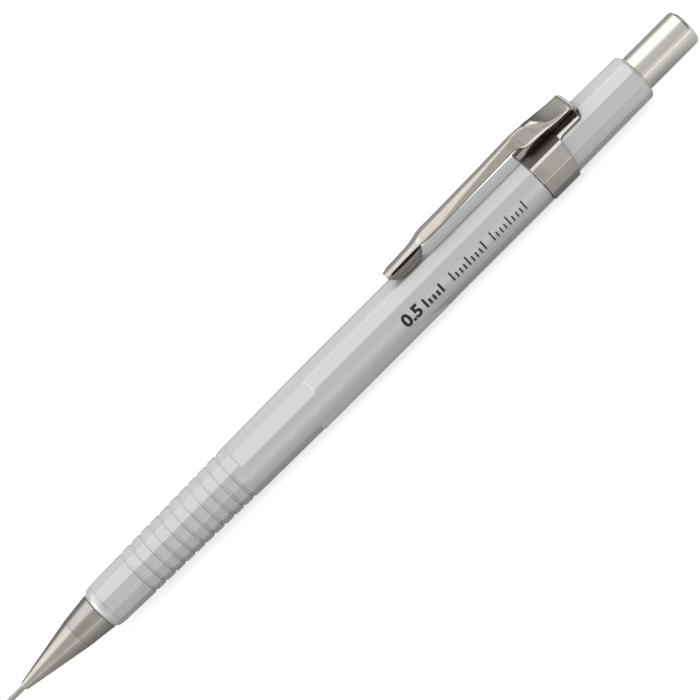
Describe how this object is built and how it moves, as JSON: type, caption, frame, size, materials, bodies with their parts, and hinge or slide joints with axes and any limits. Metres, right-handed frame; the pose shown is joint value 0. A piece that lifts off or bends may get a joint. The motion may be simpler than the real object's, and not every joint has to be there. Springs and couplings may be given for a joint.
{
  "type": "mechanical pencil",
  "caption": "Drafting mechanical pencil with a twelve-sided grooved barrel, long lead pipe, folded metal pocket clip and metal push cap.",
  "frame": {"origin": "centre of the mouth of the lead pipe, on the pencil's axis", "axes": "+X along the axis from the tip to the cap, +Z from the axis towards the pocket clip, -Z out of the bottom facet the pencil rests on"},
  "size_m": [0.1438, 0.0092, 0.0131],
  "materials": {
    "barrel_plastic": "satin light grey moulded plastic with a fine pearl grain",
    "label_film": "thin printed film label, blank apart from plain bars",
    "cone_metal": "turned brass with satin nickel plating",
    "pipe_steel": "drawn stainless steel tube",
    "rubber": "soft black rubber",
    "brass": "turned brass",
    "inner_plastic": "white acetal",
    "spring_steel": "drawn spring wire",
    "reservoir_plastic": "translucent white plastic tube",
    "cap_metal": "stainless steel, finely brushed lengthwise",
    "ferrule_metal": "spun aluminium",
    "eraser_rubber": "white eraser rubber",
    "graphite": "polymer graphite lead",
    "clip_metal": "folded sheet metal, polished nickel plating"
  },
  "bodies": {
    "barrel": {"barrel": "barrel_plastic", "blank_label": "label_film", "guide_bush": "inner_plastic", "clip_band": "clip_metal"},
    "clip_arm": {"clip_arm": "clip_metal"},
    "push_unit": {"lead_reservoir": "reservoir_plastic", "chuck_connector": "inner_plastic", "chuck_body": "brass", "spare_leads": "graphite", "return_spring": "spring_steel"},
    "clutch_ring": {"clutch_ring": "brass"},
    "jaw_1": {"chuck_jaw_1": "brass"},
    "jaw_2": {"chuck_jaw_2": "brass"},
    "jaw_3": {"chuck_jaw_3": "brass"},
    "cap": {"push_cap": "cap_metal"},
    "eraser_unit": {"eraser_ferrule": "ferrule_metal", "eraser": "eraser_rubber", "cleanout_pin": "spring_steel"},
    "lead": {"lead": "graphite"},
    "tip": {"lead_pipe": "pipe_steel", "lead_retainer": "rubber"},
    "front_cone": {"front_cone": "cone_metal"}
  },
  "joints": [
    {"name": "push", "type": "slide", "parent": "barrel", "child": "push_unit", "axis": [-1, 0, 0], "range_m": [0, 0.004], "stiffness_N_per_m": 150, "deforming": ["return_spring"]},
    {"name": "clutch_travel", "type": "slide", "parent": "barrel", "child": "clutch_ring", "axis": [-1, 0, 0], "range_m": [0, 0.0008]},
    {"name": "jaw_1_open", "type": "hinge", "parent": "push_unit", "child": "jaw_1", "pos_m": [0.0215, 0, 0.0006], "axis": [0, 1, 0], "range_deg": [0, 1.2]},
    {"name": "jaw_2_open", "type": "hinge", "parent": "push_unit", "child": "jaw_2", "pos_m": [0.0215, -0.00052, -0.0003], "axis": [0, -0.5, 0.866], "range_deg": [0, 1.2]},
    {"name": "jaw_3_open", "type": "hinge", "parent": "push_unit", "child": "jaw_3", "pos_m": [0.0215, 0.00052, -0.0003], "axis": [0, -0.5, -0.866], "range_deg": [0, 1.2]},
    {"name": "cap_pull", "type": "slide", "parent": "push_unit", "child": "cap", "axis": [1, 0, 0], "range_m": [0, 0.05]},
    {"name": "eraser_pull", "type": "slide", "parent": "push_unit", "child": "eraser_unit", "axis": [1, 0, 0], "range_m": [0, 0.032]},
    {"name": "lead_feed", "type": "slide", "parent": "barrel", "child": "lead", "axis": [-1, 0, 0], "range_m": [-0.0008, 0.003]},
    {"name": "clip_flex", "type": "hinge", "parent": "barrel", "child": "clip_arm", "pos_m": [0.1216, 0, 0.0051], "axis": [0, 1, 0], "range_deg": [0, 4], "stiffness_Nm_per_rad": 0.5},
    {"name": "tip_slide", "type": "slide", "parent": "barrel", "child": "tip", "axis": [-1, 0, 0], "range_m": [0, 0.006]},
    {"name": "cone_turn", "type": "hinge", "parent": "tip", "child": "front_cone", "pos_m": [0.02, 0, 0], "axis": [-1, 0, 0], "range_deg": [0, 2880]}
  ],
  "couplings": [
    {"joint": "clutch_travel", "follows": "push", "ratio": 0.2},
    {"joint": "jaw_1_open", "follows": "push", "rad_per_m": 5.236},
    {"joint": "jaw_2_open", "follows": "push", "rad_per_m": 5.236},
    {"joint": "jaw_3_open", "follows": "push", "rad_per_m": 5.236},
    {"joint": "eraser_pull", "follows": "cap_pull", "ratio": 0.64},
    {"joint": "cone_turn", "follows": "tip_slide", "rad_per_m": 8377.6}
  ]
}
